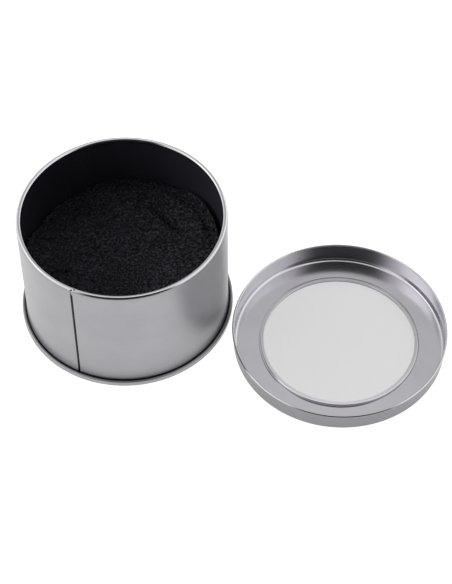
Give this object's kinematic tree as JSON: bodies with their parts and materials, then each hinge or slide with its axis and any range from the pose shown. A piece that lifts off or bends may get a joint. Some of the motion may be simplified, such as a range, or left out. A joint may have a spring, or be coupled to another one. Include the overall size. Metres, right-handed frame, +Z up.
{
  "type": "round window tin",
  "caption": "Round open tinplate tin with a rolled rim, a black lining and a soft foam pad inside, beside its upturned lid with a clear round window.",
  "frame": {"origin": "on the surface that the tin and the lid stand on, midway between the outer edges of the two", "axes": "+Z up, along the tin's own axis; +X from the tin towards the lid"},
  "size_m": [0.1914, 0.0946, 0.06],
  "materials": {
    "tinplate": "satin",
    "black_card": "satin",
    "black_foam": "matte",
    "clear_plastic": "gloss"
  },
  "bodies": {
    "tin": {"tin_body": "tinplate", "tin_bottom": "tinplate", "wall_liner": "black_card", "lower_pad": "black_foam"},
    "top_foam": {"upper_pad": "black_foam"},
    "lid": {"lid_shell": "tinplate", "window_ring": "tinplate", "window_pane": "clear_plastic"}
  },
  "joints": [
    {"name": "lid_swing", "type": "hinge", "parent": "tin", "child": "lid", "pos_m": [-0.00049, 0, 0.0303], "axis": [0, -1, 0], "range_deg": [0, 180]},
    {"name": "upper_pad_lift", "type": "slide", "parent": "tin", "child": "top_foam", "axis": [0, 0, 1], "range_m": [0, 0.02]}
  ]
}
